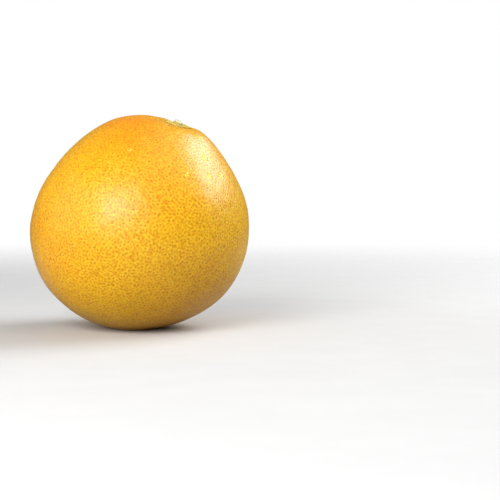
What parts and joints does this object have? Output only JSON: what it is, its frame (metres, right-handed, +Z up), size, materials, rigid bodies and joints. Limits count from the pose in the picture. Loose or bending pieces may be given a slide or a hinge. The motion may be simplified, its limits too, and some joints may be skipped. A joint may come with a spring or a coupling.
{
  "type": "pomelo",
  "caption": "Whole ripe pomelo with a yellow-orange pitted rind, resting on a small flat spot, with its green calyx and cut stem stub at the leaning stem end.",
  "frame": {"origin": "on the surface the fruit rests on, under the middle of its outline", "axes": "+Z up from the flat spot, +X to the right of the front view, towards which the stem end leans, +Y away from the viewer"},
  "size_m": [0.1488, 0.1468, 0.1456],
  "materials": {
    "rind": "waxy, semi-gloss citrus rind with fine sunken oil glands",
    "calyx": "dry green-brown sepals, matte",
    "stem": "woody stem with olive bark and a pale cut face, matte"
  },
  "bodies": {
    "root": {"fruit": "rind", "calyx": "calyx", "stem_stub": "stem"}
  },
  "joints": []
}
